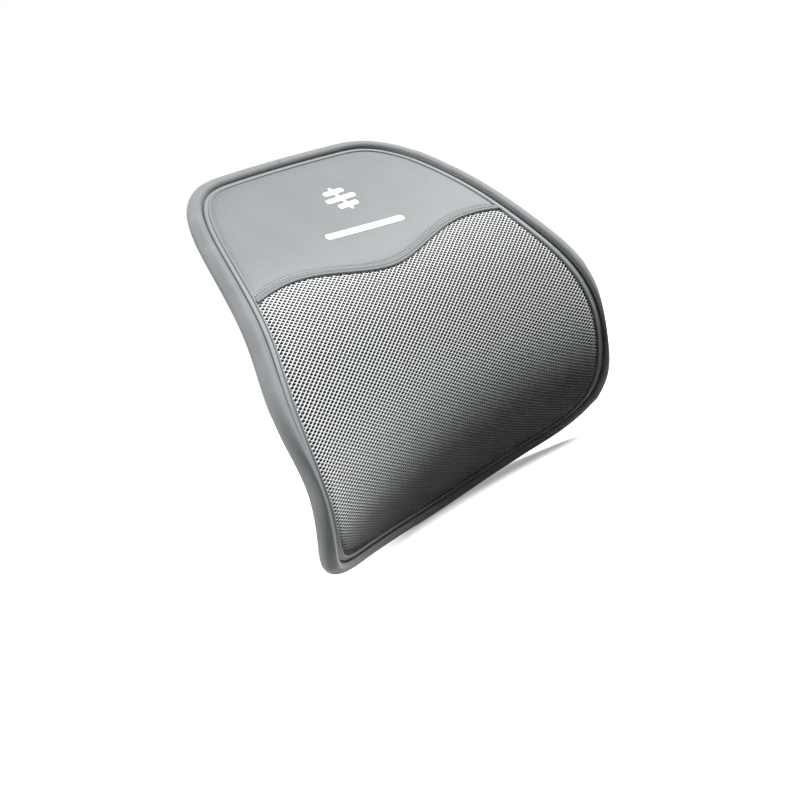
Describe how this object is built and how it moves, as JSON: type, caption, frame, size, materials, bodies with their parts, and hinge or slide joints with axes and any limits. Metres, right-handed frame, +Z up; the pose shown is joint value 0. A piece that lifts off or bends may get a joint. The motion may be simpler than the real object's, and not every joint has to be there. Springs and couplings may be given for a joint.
{
  "type": "lumbar support cushion",
  "caption": "Curved lumbar support cushion: foam core in a sewn cover of leatherette and air mesh with a rolled border, zipped at the back, with an elastic strap for the seat back.",
  "frame": {"origin": "middle of the flat back face, where it bears on the seat back", "axes": "+Z up the seat back, +Y back towards the seat, +X to the right of someone facing the front of the cushion"},
  "size_m": [0.3764, 0.1817, 0.3843],
  "materials": {
    "leatherette": "fine-grained matte leatherette",
    "leatherette_band": "fine-ribbed matte leatherette",
    "air_mesh": "knitted air mesh with staggered holes",
    "black_lining": "knitted spacer lining",
    "thread": "polyester sewing thread",
    "twill": "fine twill",
    "binding_tape": "woven tape",
    "grip_fabric": "dotted anti-slip cloth",
    "foam": "slow-recovery foam",
    "black_plastic": "moulded nylon",
    "zip_metal": "gunmetal plated zinc",
    "webbing": "elastic webbing",
    "white_print": "printed ink film",
    "label_cloth": "satin label"
  },
  "bodies": {
    "cushion": {"back_binding": "binding_tape", "back_panel": "grip_fabric", "border_band": "leatherette_band", "care_label": "label_cloth", "emblem_print": "white_print", "emblem_rule": "white_print", "foam_core": "foam", "front_mesh_panel": "air_mesh", "front_upper_panel": "leatherette", "mesh_lining": "black_lining", "panel_welt": "leatherette_band", "side_gusset": "twill", "strap_long": "webbing", "strap_patch_left": "leatherette_band", "strap_patch_right": "leatherette_band", "strap_ring": "black_plastic", "strap_short": "webbing", "wave_fold": "leatherette", "wave_topstitch": "thread", "zipper_coil_lower": "black_plastic", "zipper_coil_upper": "black_plastic", "zipper_stop_left": "zip_metal", "zipper_stop_right": "zip_metal", "zipper_tape_lower": "binding_tape", "zipper_tape_upper": "binding_tape"},
    "slider": {"zipper_slider": "zip_metal"},
    "pull": {"zipper_pull": "zip_metal"},
    "adjuster": {"strap_adjuster": "black_plastic"}
  },
  "joints": [
    {"name": "zipper_slide", "type": "slide", "parent": "cushion", "child": "slider", "axis": [-1, 0, 0], "range_m": [0, 0.148]},
    {"name": "pull_hinge", "type": "hinge", "parent": "slider", "child": "pull", "pos_m": [0.07415, 0.00655, -0.112], "axis": [0, 0, -1], "range_deg": [0, 170]},
    {"name": "adjuster_slide", "type": "slide", "parent": "cushion", "child": "adjuster", "axis": [1, 0, 0], "range_m": [-0.012, 0.022]}
  ]
}
